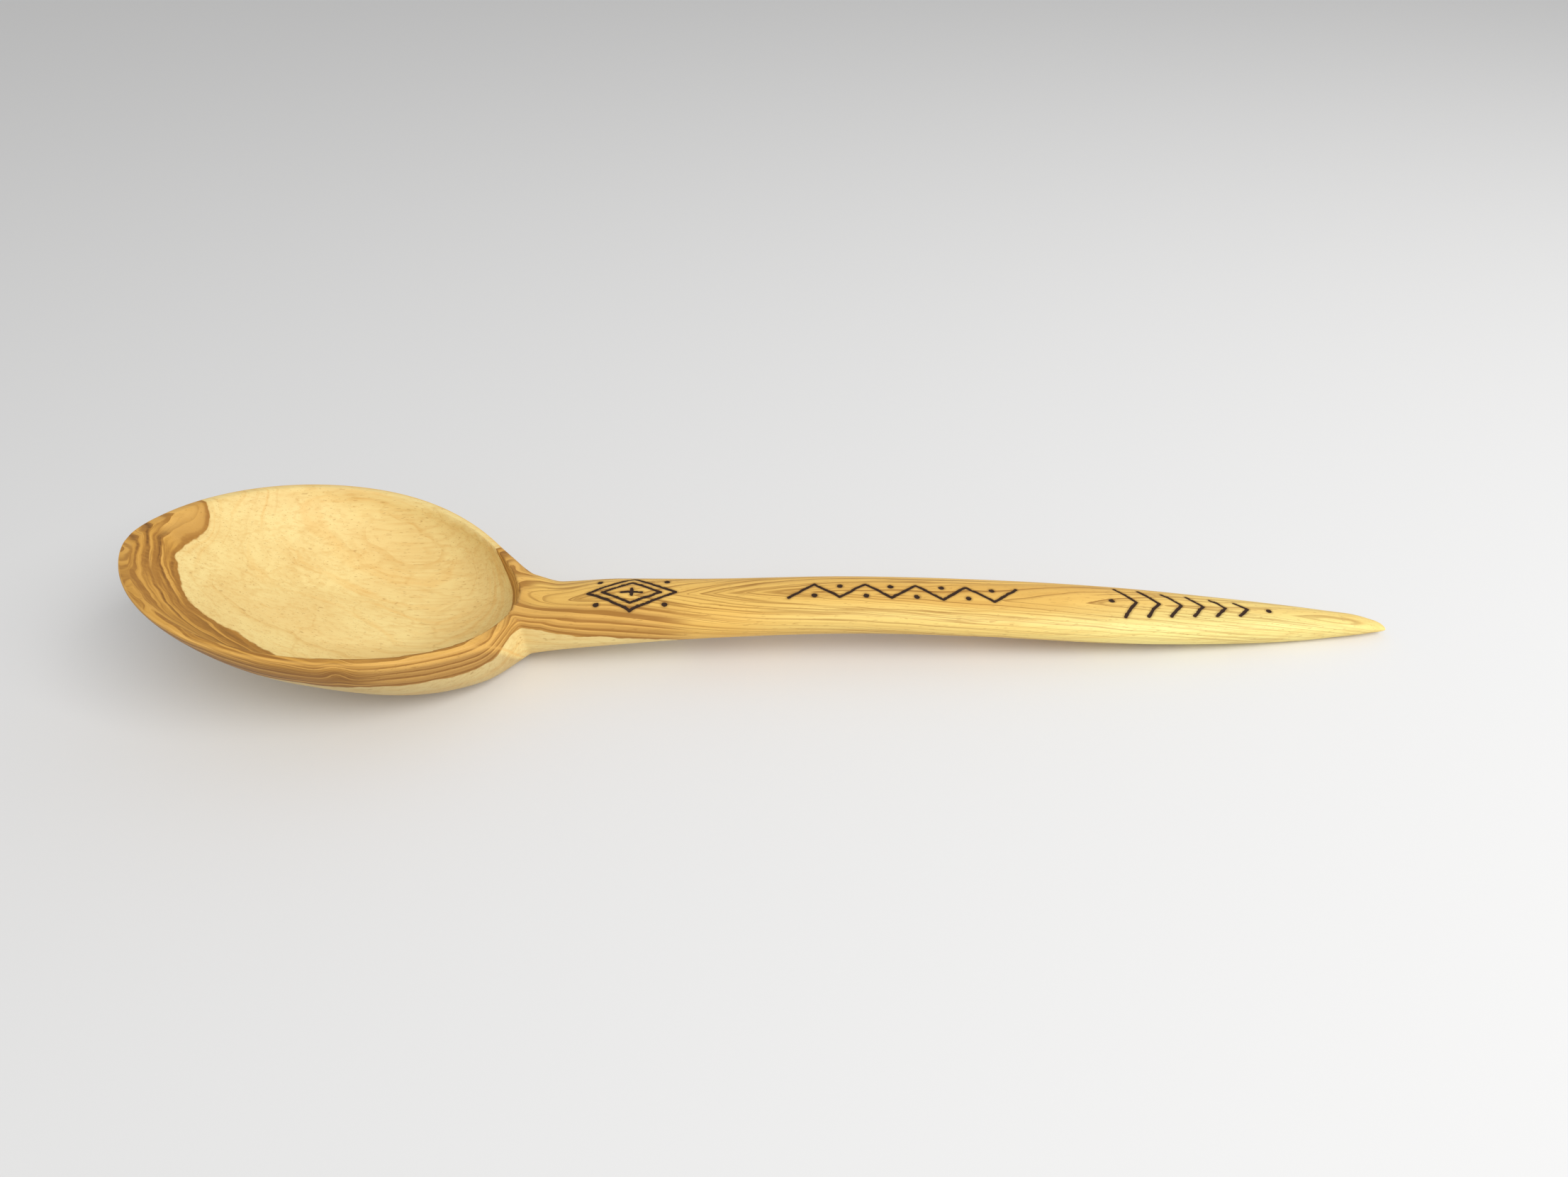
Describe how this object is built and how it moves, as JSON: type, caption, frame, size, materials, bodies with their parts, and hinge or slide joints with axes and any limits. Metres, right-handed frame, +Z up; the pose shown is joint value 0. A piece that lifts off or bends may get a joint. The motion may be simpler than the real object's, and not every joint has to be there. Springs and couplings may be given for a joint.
{
  "type": "serving spoon",
  "caption": "Long wooden serving spoon carved from one piece: a deep almond-shaped bowl, a narrow neck and an arched handle that tapers to a rounded point.",
  "frame": {"origin": "centre of the spoon's box at the level it rests on, the middle of its length", "axes": "+X along the length from the bowl to the handle's tip, +Z up out of the open bowl, +Y across"},
  "size_m": [0.318, 0.071, 0.0371],
  "materials": {
    "olive_wood": "sanded smooth and oiled, satin"
  },
  "bodies": {
    "root": {"bowl": "olive_wood", "neck": "olive_wood", "handle": "olive_wood"}
  },
  "joints": []
}
